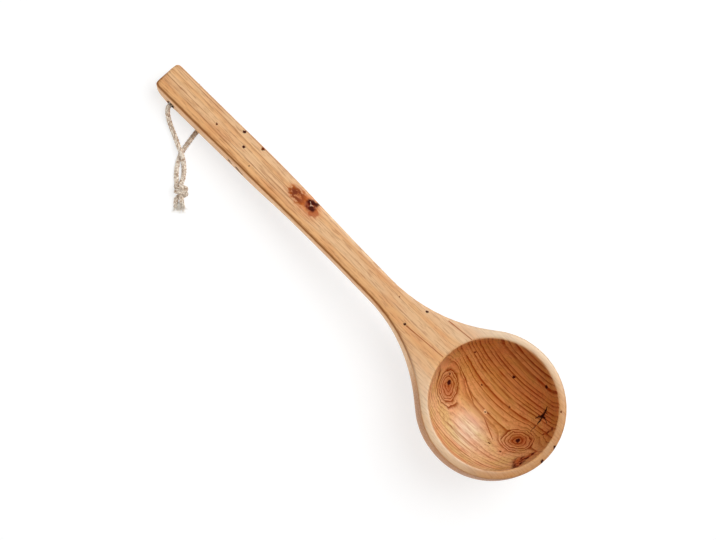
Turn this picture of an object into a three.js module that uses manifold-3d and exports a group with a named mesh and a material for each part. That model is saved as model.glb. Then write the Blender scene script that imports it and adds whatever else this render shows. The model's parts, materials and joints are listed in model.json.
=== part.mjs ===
// A sauna ladle: one carved piece of wood, and a cotton cord tied in a loop through its handle.
// Millimetres, +Z up. The ladle lies as on a bench, on the flat under its bowl and the round
// under its handle's end, with the loop on the bench beside it. +X runs from handle to bowl.

import * as THREE from 'three';
import { mergeGeometries, mergeVertices } from 'three/addons/utils/BufferGeometryUtils.js';
import Module from 'manifold-3d';

const wasm = await Module();
wasm.setup();

// Sizes of the whole and of the bowl
const OVERALL_LENGTH = 400;
const BOWL_DIAMETER = 111.2;
const BOWL_DEPTH = 56;
const BOWL_FLOOR = 8;
const RIM_WIDTH = 6.4;
const RIM_INNER_EDGE = 1;
const RIM_EDGE_SWEEP = 75;
const FOOT_CUT = 0.8;

// Sizes of the handle: a thick grip at the free end, a slim waist, and a neck that flares to the bowl
const GRIP_WIDTH = 24.7;
const GRIP_THICKNESS = 19;
const GRIP_LENGTH = 98;
const WAIST_WIDTH = 21.9;
const WAIST_THICKNESS = 14.5;
const WIDTH_TAPER = 100;
const THICKNESS_TAPER = 45;
const NECK_RADIUS = 126;
const NECK_MEET_ANGLE = 45;
const HANDLE_BOW = 1.6;
const HANDLE_BOW_PLACE = 125;
const OUTER_EDGE = 2.2;
const END_CORNER = 3.5;
const END_ROUND = 11;
const HANDLE_SQUARENESS = 5;
const BOWL_FULLNESS = 2.5;

// Cross hole for the cord
const HOLE_DIAMETER = 6;
const HOLE_FROM_END = 18;
const HOLE_BELOW_TOP = 11.5;

// Cord, and the knot where its ends are tied: one end winds round the other
const CORD_DIAMETER = 3;
const CORD_SEAT_GAP = 0.3;
const CORD_FLOOR_GAP = 0.1;
const WINDING_GAP = 0.6;
const KNOT_TURNS = 1.85;
const KNOT_FIRST_ANGLE = 215;
const KNOT_X = 52.6;
const KNOT_Y = -50.3;
const KNOT_HEADING = -43.7;

// Facet counts
const END_STEPS = 9;
const HANDLE_STEPS = 18;
const NECK_STEPS = 15;
const BOWL_STEPS = 28;
const EDGE_STEPS = 3;
const UNDERSIDE_STEPS = 16;
const HOLLOW_SEGMENTS = 56;
const HOLLOW_STEPS = 14;
const HOLE_SEGMENTS = 24;
const CORD_SIDES = 8;
const CORD_STEP = 1.2;
const WINDING_POINTS_PER_TURN = 12;

// Fineness of the sums: vertices merged, halvings of the tilt's range, and points compared along the cord
const MERGE_DISTANCE = 1e-4;
const TILT_HALVINGS = 50;
const POINTS_PER_MM = 4;
const NEIGHBOUR_DIAMETERS = 3;

// Sizes that follow from those above
const bowlRadius = BOWL_DIAMETER / 2;
const openingRadius = bowlRadius - RIM_WIDTH;
const bowlX = OVERALL_LENGTH - bowlRadius;
const undersideHeight = BOWL_DEPTH - OUTER_EDGE;
const waistHalf = WAIST_WIDTH / 2;
const neckRun = Math.sqrt((bowlRadius + NECK_RADIUS) ** 2 - (waistHalf + NECK_RADIUS) ** 2);
const neckX = bowlX - neckRun;
const neckMeetX = bowlX - (neckRun * bowlRadius) / (bowlRadius + NECK_RADIUS);
const cordRadius = CORD_DIAMETER / 2;
const windingRadius = CORD_DIAMETER + WINDING_GAP;
const windingPitch = CORD_DIAMETER + WINDING_GAP;
const cordLow = cordRadius + CORD_FLOOR_GAP;
const knotHeight = cordLow + windingRadius;

const radians = THREE.MathUtils.degToRad;

// Smooth rise from 0 to 1 as x goes from start over run.
function ease(x, start, run) {
  return THREE.MathUtils.smoothstep(x, start, start + run);
}

// How far a quarter round of this radius still falls short, this far in from its end.
function roundedOff(radius, inset) {
  return inset >= radius ? 0 : radius - Math.sqrt(radius ** 2 - (radius - inset) ** 2);
}

// The handle's middle line stands a little off the straight line from its end to the bowl.
function middleY(x) {
  const rise = ease(x, 0, HANDLE_BOW_PLACE);
  const fall = 1 - ease(x, HANDLE_BOW_PLACE, bowlX - HANDLE_BOW_PLACE);
  return HANDLE_BOW * Math.min(rise, fall);
}

// Half the width seen from above: grip, waist, a round neck, then the bowl's circle.
function halfWidth(x) {
  if (x >= neckMeetX) return Math.sqrt(bowlRadius ** 2 - (bowlX - x) ** 2);
  if (x >= neckX) return waistHalf + NECK_RADIUS - Math.sqrt(NECK_RADIUS ** 2 - (x - neckX) ** 2);
  const width = THREE.MathUtils.lerp(GRIP_WIDTH, WAIST_WIDTH, ease(x, GRIP_LENGTH, WIDTH_TAPER));
  return width / 2 - roundedOff(END_CORNER, x);
}

// The neck's underside, seen from the side: a curve that leaves the waist level and meets the bowl.
const meetAngle = radians(NECK_MEET_ANGLE);
const bowlPower = 2 / BOWL_FULLNESS;
const bowlMeet = new THREE.Vector2(
  bowlX - bowlRadius * Math.sin(meetAngle) ** bowlPower,
  OUTER_EDGE + undersideHeight * Math.cos(meetAngle) ** bowlPower,
);
const meetSlope = (undersideHeight / bowlRadius) * Math.tan(meetAngle) ** (2 - bowlPower);
const neckTurnX = bowlMeet.x - (bowlMeet.y - WAIST_THICKNESS) / meetSlope;
const neckTurn = new THREE.Vector2(neckTurnX, WAIST_THICKNESS);
const neckStart = new THREE.Vector2(neckTurnX - neckTurn.distanceTo(bowlMeet), WAIST_THICKNESS);

function neckDepth(x) {
  const a = neckStart.x - 2 * neckTurn.x + bowlMeet.x;
  const b = 2 * (neckTurn.x - neckStart.x);
  const c = neckStart.x - x;
  const t = (-2 * c) / (b + Math.sqrt(b * b - 4 * a * c));
  return new THREE.QuadraticBezierCurve(neckStart, neckTurn, bowlMeet).getPoint(t).y;
}

// Depth of the underside below the flat top, on the middle line.
function depth(x) {
  if (x >= bowlMeet.x) {
    const share = Math.abs(bowlX - x) / bowlRadius;
    return OUTER_EDGE + undersideHeight * (1 - share ** BOWL_FULLNESS) ** (1 / BOWL_FULLNESS);
  }
  if (x >= neckStart.x) return neckDepth(x);
  const taper = ease(x, GRIP_LENGTH, THICKNESS_TAPER);
  const thickness = THREE.MathUtils.lerp(GRIP_THICKNESS, WAIST_THICKNESS, taper);
  return thickness - roundedOff(END_ROUND, x);
}

function squareness(x) {
  return THREE.MathUtils.lerp(HANDLE_SQUARENESS, BOWL_FULLNESS, ease(x, neckX, bowlX - neckX));
}

// Half of a cross-section, from the middle of the flat top, over the rounded edge, down to the
// middle of the underside. Each point is (distance from the middle line, height).
function halfSection(x) {
  const top = -roundedOff(OUTER_EDGE, x);
  const width = halfWidth(x);
  const power = 2 / squareness(x);
  const sideHeight = depth(x) + top - OUTER_EDGE;
  const points = [new THREE.Vector2(0, top)];
  for (let i = 0; i <= EDGE_STEPS; i++) {
    const angle = (Math.PI / 2) * (i / EDGE_STEPS);
    const inset = OUTER_EDGE * (1 - Math.sin(angle));
    points.push(new THREE.Vector2(width - inset, top - OUTER_EDGE * (1 - Math.cos(angle))));
  }
  for (let i = 1; i <= UNDERSIDE_STEPS; i++) {
    const angle = (Math.PI / 2) * (i / UNDERSIDE_STEPS);
    const across = i === UNDERSIDE_STEPS ? 0 : width * Math.cos(angle) ** power;
    points.push(new THREE.Vector2(across, top - OUTER_EDGE - sideHeight * Math.sin(angle) ** power));
  }
  return points;
}

// A surface through rows of points, whose front looks along (next row) x (next point).
function surfaceThrough(rows) {
  const columns = rows[0].length;
  const geometry = new THREE.BufferGeometry().setFromPoints(rows.flat());
  const index = [];
  for (let r = 0; r + 1 < rows.length; r++) {
    for (let c = 0; c + 1 < columns; c++) {
      const a = r * columns + c;
      const b = a + columns;
      index.push(a, b, b + 1, a, b + 1, a + 1);
    }
  }
  return geometry.setIndex(index);
}

// A flat face that closes a ring of points, which runs the right way round when seen from outside.
function capOver(ring) {
  const centre = ring.reduce((sum, p) => sum.add(p), new THREE.Vector3()).divideScalar(ring.length);
  const geometry = new THREE.BufferGeometry().setFromPoints([centre, ...ring]);
  const index = [];
  for (let i = 0; i < ring.length; i++) {
    index.push(0, 1 + i, 1 + ((i + 1) % ring.length));
  }
  return geometry.setIndex(index);
}

function asSolid(geometry) {
  const bare = geometry.clone();
  bare.deleteAttribute('normal');
  bare.deleteAttribute('uv');
  const merged = mergeVertices(bare, MERGE_DISTANCE);
  const corners = merged.index.array;
  const kept = [];
  for (let i = 0; i < corners.length; i += 3) {
    const [a, b, c] = [corners[i], corners[i + 1], corners[i + 2]];
    if (a !== b && b !== c && c !== a) kept.push(a, b, c);
  }
  const vertProperties = new Float32Array(merged.attributes.position.array);
  return new wasm.Manifold(new wasm.Mesh({ numProp: 3, vertProperties, triVerts: new Uint32Array(kept) }));
}

function asGeometry(solid) {
  const mesh = solid.getMesh();
  const geometry = new THREE.BufferGeometry();
  geometry.setAttribute('position', new THREE.BufferAttribute(new Float32Array(mesh.vertProperties), 3));
  geometry.setIndex(new THREE.BufferAttribute(new Uint32Array(mesh.triVerts), 1));
  geometry.computeVertexNormals();
  return geometry;
}

// The outside of the wood: handle and near half of the bowl lofted through cross-sections,
// the far half of the bowl turned about its middle, and a flat on the handle's end.
function outsideSolid() {
  const stations = [];
  for (let i = 0; i < END_STEPS; i++) {
    stations.push(END_ROUND * (1 - Math.cos((Math.PI / 2) * (i / END_STEPS))));
  }
  for (let i = 0; i < HANDLE_STEPS; i++) {
    stations.push(THREE.MathUtils.lerp(END_ROUND, neckX, i / HANDLE_STEPS));
  }
  for (let i = 0; i <= NECK_STEPS; i++) {
    stations.push(THREE.MathUtils.lerp(neckX, bowlX, i / NECK_STEPS));
  }
  const side = (x, sign) => halfSection(x).map((p) => new THREE.Vector3(x, middleY(x) + sign * p.x, p.y));
  const right = stations.map((x) => side(x, 1));
  const left = stations.map((x) => side(x, -1));

  const bowlRows = [];
  for (let i = 0; i <= BOWL_STEPS; i++) {
    const turn = Math.PI / 2 - Math.PI * (i / BOWL_STEPS);
    bowlRows.push(
      halfSection(bowlX).map((p) => new THREE.Vector3(bowlX + p.x * Math.cos(turn), p.x * Math.sin(turn), p.y)),
    );
  }
  const endRing = [...right[0], ...left[0].slice(1, -1).reverse()];
  return asSolid(
    mergeGeometries([
      surfaceThrough(right),
      surfaceThrough(left.reverse()),
      surfaceThrough(bowlRows),
      capOver(endRing),
    ]),
  );
}

// The hollow of the bowl, a turned form whose top edge eases out over the rim.
function hollowSolid() {
  const hollowDepth = BOWL_DEPTH - BOWL_FLOOR - RIM_INNER_EDGE;
  const profile = [];
  for (let i = 0; i <= HOLLOW_STEPS; i++) {
    const angle = (Math.PI / 2) * (i / HOLLOW_STEPS);
    const across = i === 0 ? 0 : openingRadius * Math.sin(angle);
    profile.push(new THREE.Vector2(across, -RIM_INNER_EDGE - hollowDepth * Math.cos(angle)));
  }
  for (let i = 1; i <= EDGE_STEPS; i++) {
    const angle = radians(RIM_EDGE_SWEEP) * (i / EDGE_STEPS);
    const across = openingRadius + RIM_INNER_EDGE * (1 - Math.cos(angle));
    profile.push(new THREE.Vector2(across, -RIM_INNER_EDGE * (1 - Math.sin(angle))));
  }
  const aboveRim = profile[profile.length - 1].clone().add(new THREE.Vector2(0, RIM_INNER_EDGE));
  profile.push(aboveRim, new THREE.Vector2(0, aboveRim.y));
  const turned = new THREE.LatheGeometry(profile, HOLLOW_SEGMENTS).rotateX(Math.PI / 2);
  return asSolid(turned.translate(bowlX, 0, 0));
}

// How far the ladle tips, and how high its handle's top edge stands, when it lies on its bowl and handle.
function restingPose() {
  const reachPower = BOWL_FULLNESS / (BOWL_FULLNESS - 1);
  const heights = (tilt) => {
    const sin = Math.sin(tilt);
    const cos = Math.cos(tilt);
    const across = (bowlRadius * sin) ** reachPower;
    const down = (undersideHeight * cos) ** reachPower;
    const bowlReach = (across + down) ** (1 / reachPower) - FOOT_CUT;
    const underBowl = OUTER_EDGE * cos - bowlX * sin + bowlReach;
    const underEnd = (GRIP_THICKNESS - END_ROUND) * cos - END_ROUND * sin + END_ROUND;
    return { underBowl, underEnd };
  };
  let low = 0;
  let high = Math.PI / 4;
  for (let i = 0; i < TILT_HALVINGS; i++) {
    const middle = (low + high) / 2;
    const { underBowl, underEnd } = heights(middle);
    if (underBowl > underEnd) low = middle;
    else high = middle;
  }
  return { tilt: low, lift: heights(low).underEnd };
}

// Wood: the outside, less the bowl's hollow, the cord's hole and a thin slice under the bowl.
const pose = restingPose();
const lying = new THREE.Matrix4().makeRotationY(-pose.tilt).setPosition(0, 0, pose.lift);
const holeCutter = new THREE.CylinderGeometry(
  HOLE_DIAMETER / 2,
  HOLE_DIAMETER / 2,
  2 * GRIP_WIDTH,
  HOLE_SEGMENTS,
).translate(HOLE_FROM_END, 0, -HOLE_BELOW_TOP);
const sliceCutter = new THREE.BoxGeometry(BOWL_DIAMETER, BOWL_DIAMETER, BOWL_DEPTH)
  .translate(bowlX, 0, -BOWL_DEPTH / 2)
  .applyMatrix4(lying.clone().invert());
const wood = outsideSolid()
  .subtract(hollowSolid())
  .subtract(asSolid(holeCutter))
  .subtract(asSolid(sliceCutter));
const ladleBody = new THREE.Mesh(
  asGeometry(wood),
  new THREE.MeshStandardMaterial({ color: 0xd29a63, roughness: 0.5, metalness: 0 }),
);
ladleBody.name = 'ladle_body';

const ladle = new THREE.Group();
ladle.add(ladleBody);
ladle.applyMatrix4(lying);

// The cord's route is given from the point on the bench straight under the middle of the hole.
const holeCentre = new THREE.Vector3(HOLE_FROM_END, 0, -HOLE_BELOW_TOP).applyMatrix4(lying);
const seatHeight = holeCentre.z - HOLE_DIAMETER / 2 + cordRadius + CORD_SEAT_GAP;
const mouthY = GRIP_WIDTH / 2;

// A point given along the knot, to the left of it and above its middle.
function atKnot(along, left, up) {
  const heading = radians(KNOT_HEADING);
  return new THREE.Vector3(
    KNOT_X + along * Math.cos(heading) - left * Math.sin(heading),
    KNOT_Y + along * Math.sin(heading) + left * Math.cos(heading),
    knotHeight + up,
  );
}
const benchAtKnot = cordLow - knotHeight;

// From the first tail, straight through the knot, over the strand that lies on the bench, to the hole.
const route = [
  atKnot(12.4, 2.4, benchAtKnot),
  atKnot(8.9, 1.2, -2),
  atKnot(5.6, 0.3, -0.3),
  atKnot(2.5, 0, 0),
  atKnot(-2.5, 0, 0),
  atKnot(-5.4, 0.3, -0.3),
  new THREE.Vector3(46.2, -41, 2.7),
  new THREE.Vector3(41.4, -35.8, 2.3),
  new THREE.Vector3(35.4, -32, 4.5),
  new THREE.Vector3(31.4, -30.2, 5.3),
  new THREE.Vector3(27.4, -28.4, 4.7),
  new THREE.Vector3(22.2, -25.6, 3.2),
  new THREE.Vector3(14.7, -22.4, 2.6),
  new THREE.Vector3(7.9, -mouthY - 7.3, 3.8),
  new THREE.Vector3(3.7, -mouthY - 5, 5.2),
  new THREE.Vector3(0.9, -mouthY - 2.7, 6.5),
  new THREE.Vector3(0, -mouthY, seatHeight),
  new THREE.Vector3(0, 0, seatHeight),
];

// Out of the hole's other mouth, under the handle and the first strand, and on to the knot.
route.push(
  new THREE.Vector3(0, mouthY - 1.4, seatHeight),
  new THREE.Vector3(0.5, mouthY + 0.7, 7),
  new THREE.Vector3(1.9, mouthY + 1.9, 6.6),
  new THREE.Vector3(4.6, mouthY + 2.3, 5.9),
  new THREE.Vector3(9.5, mouthY + 2.5, 4.6),
  new THREE.Vector3(14.5, mouthY + 2.6, 3.3),
  new THREE.Vector3(19.3, mouthY + 2.5, 2.35),
  new THREE.Vector3(22.6, mouthY + 0.8, 1.75),
  new THREE.Vector3(25, 8.6, cordLow),
  new THREE.Vector3(26.4, 3.2, cordLow),
  new THREE.Vector3(27.2, -4, cordLow),
  new THREE.Vector3(28, -11, cordLow),
  new THREE.Vector3(29.3, -18, cordLow),
  new THREE.Vector3(31, -25.6, cordLow),
  new THREE.Vector3(33, -32, cordLow),
  new THREE.Vector3(36.8, -38.2, cordLow),
  new THREE.Vector3(41.4, -43.6, cordLow),
  atKnot(-5.8, -2.6, benchAtKnot + 0.3),
);

// Round the first strand, and out as the second tail.
const windingPoints = Math.round(KNOT_TURNS * WINDING_POINTS_PER_TURN);
for (let i = 0; i <= windingPoints; i++) {
  const turned = KNOT_TURNS * (i / windingPoints);
  const angle = radians(KNOT_FIRST_ANGLE) - 2 * Math.PI * turned;
  const along = windingPitch * (turned - KNOT_TURNS / 2);
  route.push(atKnot(along, windingRadius * Math.cos(angle), windingRadius * Math.sin(angle)));
}
route.push(atKnot(5.2, -2.6, benchAtKnot), atKnot(8.5, -3.3, benchAtKnot), atKnot(12.5, -3.4, benchAtKnot));

const cordLine = new THREE.CatmullRomCurve3(route, false, 'centripetal');
const cordLength = cordLine.getLength();

// The least gap between stretches of the cord that aren't neighbours along it.
function leastGap() {
  const points = cordLine.getSpacedPoints(Math.round(cordLength * POINTS_PER_MM));
  const apart = Math.round(NEIGHBOUR_DIAMETERS * CORD_DIAMETER * POINTS_PER_MM);
  let least = Infinity;
  for (let i = 0; i < points.length; i++) {
    for (let j = i + apart; j < points.length; j++) least = Math.min(least, points[i].distanceTo(points[j]));
  }
  return least - CORD_DIAMETER;
}
console.log(`cord length ${cordLength.toFixed(1)} mm`);
console.log(`least gap of the cord to itself ${leastGap().toFixed(2)} mm`);

const cordSection = new THREE.Shape();
for (let i = 0; i < CORD_SIDES; i++) {
  const angle = (2 * Math.PI * i) / CORD_SIDES;
  const corner = [cordRadius * Math.cos(angle), cordRadius * Math.sin(angle)];
  if (i === 0) cordSection.moveTo(...corner);
  else cordSection.lineTo(...corner);
}
const hangingCord = new THREE.Mesh(
  new THREE.ExtrudeGeometry(cordSection, {
    extrudePath: cordLine,
    steps: Math.round(cordLength / CORD_STEP),
    bevelEnabled: false,
  }),
  new THREE.MeshStandardMaterial({ color: 0xd9cbb5, roughness: 0.95, metalness: 0 }),
);
hangingCord.name = 'hanging_cord';
hangingCord.position.set(holeCentre.x, holeCentre.y, 0);

// The origin is on the bench, under the middle of the wood's bounding box.
const assembly = new THREE.Group();
assembly.add(ladle, hangingCord);
ladle.updateMatrixWorld(true);
const middle = new THREE.Box3().setFromObject(ladle, true).getCenter(new THREE.Vector3());
assembly.position.set(-middle.x, -middle.y, 0);

const saunaLadle = new THREE.Group();
saunaLadle.name = 'sauna_ladle';
saunaLadle.add(assembly);
saunaLadle.updateMatrixWorld(true);

export default saunaLadle;
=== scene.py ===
"""A sauna ladle, dressed: carved wood with its grain and knots, and a twisted cotton cord to hang it by.

Lengths are in metres in the model's own frame, +Z up, with the ladle lying on its bowl and its
handle's end. The wood's figure is drawn in millimetres in the ladle's frame: x from the handle's
end to the bowl, y across, z down from the flat top as a negative number.
"""

from __future__ import annotations

import json
import logging
import math
import random
from collections.abc import Callable, Iterable, Mapping, Sequence
from dataclasses import dataclass
from enum import Enum
from functools import reduce
from itertools import accumulate

import bpy
from mathutils import Matrix, Vector

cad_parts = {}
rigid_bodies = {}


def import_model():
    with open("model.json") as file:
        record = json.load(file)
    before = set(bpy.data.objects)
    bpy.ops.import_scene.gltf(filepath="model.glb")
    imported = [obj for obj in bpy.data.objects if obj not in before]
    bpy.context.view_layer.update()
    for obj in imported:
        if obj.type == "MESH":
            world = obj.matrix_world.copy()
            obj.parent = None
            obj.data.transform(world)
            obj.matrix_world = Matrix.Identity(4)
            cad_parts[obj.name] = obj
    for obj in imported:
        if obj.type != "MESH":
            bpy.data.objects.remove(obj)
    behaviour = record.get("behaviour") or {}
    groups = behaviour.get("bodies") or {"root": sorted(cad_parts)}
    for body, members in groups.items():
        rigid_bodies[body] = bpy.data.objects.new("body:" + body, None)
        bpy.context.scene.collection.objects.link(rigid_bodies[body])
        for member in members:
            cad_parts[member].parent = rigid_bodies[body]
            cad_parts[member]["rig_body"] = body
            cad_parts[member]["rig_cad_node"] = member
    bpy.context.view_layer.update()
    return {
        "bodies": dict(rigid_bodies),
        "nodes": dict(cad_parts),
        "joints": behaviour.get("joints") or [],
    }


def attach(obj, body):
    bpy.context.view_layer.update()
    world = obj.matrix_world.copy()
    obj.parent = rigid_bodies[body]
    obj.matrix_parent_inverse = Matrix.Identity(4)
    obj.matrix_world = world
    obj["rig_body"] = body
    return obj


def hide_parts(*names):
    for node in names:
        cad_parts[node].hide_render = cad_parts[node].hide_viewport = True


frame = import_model()

log = logging.getLogger("sauna_ladle")

MM = 0.001

# How the ladle lies: the middle of its top edge at the handle's end, and the slope up to the bowl
HANDLE_END = Vector((-0.1993995, 0.0, 0.017738))
LIE_ANGLE = math.radians(6.33209)
LIE_TURN = Matrix.Rotation(LIE_ANGLE, 3, "Y")

# The middles of the bowl's top and of the cord's cross hole, in the ladle's frame
BOWL = (344.4, 0.0, 0.0)
HOLE = (18.0, 0.0, -11.5)

WHITE = (1.0, 1.0, 1.0, 1.0)

Piece = bpy.types.Object
Material = bpy.types.Material
Pair = tuple[float, float]
Triple = tuple[float, float, float]
Colour = tuple[float, float, float, float]

# Where a level starts and stops rising, and the two levels where they aren't 0 and 1
Rise = tuple[float, ...]

# What a node's input takes: another node's output, or a number, triple or colour
Socket = bpy.types.NodeSocket
Value = Socket | float | tuple[float, ...]
Inputs = Mapping[str | int, Value]


def colour(red: int, green: int, blue: int) -> Colour:
    """Turns a colour as seen on a screen into the linear values that shaders use.

    Args:
        red: Red from 0 to 255.
        green: Green from 0 to 255.
        blue: Blue from 0 to 255.

    Returns:
        Linear red, green, blue and a full alpha.
    """
    def linear(level: int) -> float:
        """One channel, undone from its screen curve."""
        share = level / 255
        return share / 12.92 if share <= 0.04045 else ((share + 0.055) / 1.055) ** 2.4

    return (linear(red), linear(green), linear(blue), 1.0)


def ladle_place(point: Vector) -> Vector:
    """Gives a point of the model in the ladle's own frame, in millimetres."""
    return (LIE_TURN @ (point - HANDLE_END)) / MM


def select_only(piece: Piece) -> None:
    """Makes one object the active one, with nothing else selected.

    Args:
        piece: The object.
    """
    bpy.ops.object.select_all(action="DESELECT")
    piece.select_set(True)
    bpy.context.view_layer.objects.active = piece


def finish_material(piece: Piece, material: Material) -> None:
    """Gives a piece one material and no other."""
    piece.data.materials.clear()
    piece.data.materials.append(material)


@dataclass(frozen=True)
class Cloud:
    """Cloudy noise.

    Attributes:
        scale: Clouds per unit along x, y and z.
        detail: Finer layers added.
        cut: How the noise is cut to a level.
        roughness: How strong the finer layers are.
    """

    scale: Triple
    detail: float
    cut: Rise = (0.0, 1.0)
    roughness: float = 0.5


class Graph:
    """A node tree, with short calls for the nodes that the finishes are made of."""

    def __init__(self, owner: Material | bpy.types.World, output: str = "OutputMaterial") -> None:
        """Starts an empty tree with an output.

        Args:
            owner: The material or world to draw.
            output: The output's kind.
        """
        owner.use_nodes = True
        self.tree = owner.node_tree
        self.tree.nodes.clear()
        self.output = self.node(output)

    def node(self, kind: str, inputs: Inputs | None = None, **settings: str | bool) -> bpy.types.Node:
        """Adds a node.

        Args:
            kind: The node's type name after the word ShaderNode.
            inputs: What its inputs take, by their names or numbers.
            settings: Properties of the node.

        Returns:
            The new node.
        """
        made = self.tree.nodes.new(f"ShaderNode{kind}")
        for name, setting in settings.items():
            setattr(made, name, setting)
        for name, value in (inputs or {}).items():
            if isinstance(value, Socket):
                self.tree.links.new(value, made.inputs[name])
            else:
                made.inputs[name].default_value = value
        return made

    def show(self, shader: Socket) -> None:
        """Ends the tree with a shader."""
        self.tree.links.new(shader, self.output.inputs["Surface"])

    def surface(self, inputs: Inputs, height: Socket, relief: Pair) -> None:
        """Ends the tree with a surface that has a fine relief.

        Args:
            inputs: The inputs of its shader.
            height: The relief's height.
            relief: The relief's strength and its depth in metres.
        """
        strength, depth = relief
        bump = self.node("Bump", {"Height": height, "Strength": strength, "Distance": depth})
        shader = self.node("BsdfPrincipled", {**inputs, "Normal": bump.outputs["Normal"]})
        self.show(shader.outputs["BSDF"])

    def math(self, operation: str, *values: Value, clamp: bool = False) -> Socket:
        """Does a sum on numbers.

        Args:
            operation: The Math node's operation.
            values: Its one to three inputs.
            clamp: Whether the result is held from 0 to 1.

        Returns:
            The result.
        """
        made = self.node("Math", dict(enumerate(values)), operation=operation, use_clamp=clamp)
        return made.outputs[0]

    def times(self, *factors: Value) -> Socket:
        """Multiplies numbers."""
        return reduce(lambda product, factor: self.math("MULTIPLY", product, factor), factors)

    def vector(self, operation: str, *values: Value) -> Socket:
        """Does a sum on vectors.

        Args:
            operation: The Vector Math node's operation.
            values: Its inputs; for SCALE the vector and then the factor.

        Returns:
            The result: a number for a length, distance or dot product, else a vector.
        """
        names = (0, "Scale" if operation == "SCALE" else 1)
        made = self.node("VectorMath", dict(zip(names, values)), operation=operation)
        number = operation in {"LENGTH", "DISTANCE", "DOT_PRODUCT"}
        return made.outputs["Value" if number else "Vector"]

    def parts(self, vector: Socket) -> tuple[Socket, ...]:
        """Splits a vector into its x, y and z."""
        return tuple(self.node("SeparateXYZ", {0: vector}).outputs)

    def noise(self, vector: Socket, cloud: Cloud, output: str = "Fac") -> Socket:
        """Adds cloudy noise in space.

        Args:
            vector: The place to read it at.
            cloud: The noise.
            output: Fac for a number, Color for a triple.

        Returns:
            A number or triple about 0.5.
        """
        inputs = {
            "Vector": self.vector("MULTIPLY", vector, cloud.scale),
            "Scale": 1.0,
            "Detail": cloud.detail,
            "Roughness": cloud.roughness,
        }
        return self.node("TexNoise", inputs).outputs[output]

    def clouds(self, vector: Socket, cloud: Cloud) -> Socket:
        """Adds cloudy noise in space, cut to a level."""
        return self.rise(self.noise(vector, cloud), *cloud.cut)

    def noise_along(self, value: Socket, scale: float) -> Socket:
        """Adds noise about 0.5 along a single number, with a scale in cycles per unit."""
        inputs = {"W": value, "Scale": scale, "Detail": 1.0}
        return self.node("TexNoise", inputs, noise_dimensions="1D").outputs["Fac"]

    def rise(self, value: Socket, start: float, end: float, low: float = 0.0, high: float = 1.0) -> Socket:
        """Eases from one level to another as a number goes from start to end.

        Args:
            value: The number.
            start: Where the rise starts.
            end: Where it ends, below start for a fall.
            low: The level at start.
            high: The level at end.

        Returns:
            The eased level.
        """
        limits = (end, start, high, low) if end < start else (start, end, low, high)
        inputs = {"Value": value, **dict(zip(("From Min", "From Max", "To Min", "To Max"), limits))}
        return self.node("MapRange", inputs, interpolation_type="SMOOTHSTEP").outputs["Result"]

    def blend(self, factor: Value, first: Value, second: Value, mode: str = "MIX") -> Socket:
        """Mixes two colours.

        Args:
            factor: Share of the second colour.
            first: The colour below.
            second: The colour on top.
            mode: The Mix node's blend type.

        Returns:
            The mixed colour.
        """
        inputs = {"Factor": factor, "A": first, "B": second}
        return self.node("Mix", inputs, data_type="RGBA", blend_type=mode).outputs["Result"]

    def mix_shaders(self, factor: Socket, first: Socket, second: Socket) -> Socket:
        """Mixes two shaders by the share of the second."""
        return self.node("MixShader", {0: factor, 1: first, 2: second}).outputs[0]

    def bell(self, distance: Socket, width: float) -> Socket:
        """Gives a soft bell that is 1 where a distance is 0 and a third where it is the width."""
        square = self.times(distance, distance)
        return self.math("EXPONENT", self.times(square, -1 / width**2))


@dataclass(frozen=True)
class Knot:
    """A branch's base in the wood, round which the growth layers part, or a patch of resin.

    Attributes:
        place: Its middle.
        reach: Its half sizes along, across and down.
        turn: Degrees that its long side is turned from the handle's line.
        halo: Strength of the reddish wood round it.
        swell: Thickness of layers that its own rings add up to.
    """

    place: Triple
    reach: Triple
    turn: float
    halo: float
    swell: float = 0.0


@dataclass(frozen=True)
class Pin:
    """A pin knot or speck.

    Attributes:
        place: Its middle.
        radius: Its radius.
    """

    place: Triple
    radius: float


@dataclass(frozen=True)
class Vein:
    """A straight stretch of a crack, resin vein or dark grain line, which tapers to its end.

    Attributes:
        start: Where it starts.
        end: Where it ends.
        width: Its half width at the start.
        tip: Its half width at the end.
    """

    start: Triple
    end: Triple
    width: float
    tip: float


@dataclass(frozen=True)
class Zone:
    """A part of the wood with a tone laid over it, as strong as all its rises together. Most zones hold
    painted shade or painted light.

    Attributes:
        tone: The colour.
        along: Its rise along the handle.
        across: Its rise across the handle.
        up: Its rises over the height.
        out: Its rise out from the bowl's middle, if any.
        band: Height and half width of the line that it keeps to, if any.
    """

    tone: Colour
    along: Rise
    across: Rise
    up: tuple[Rise, ...] = ()
    out: Rise | None = None
    band: Pair | None = None


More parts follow.
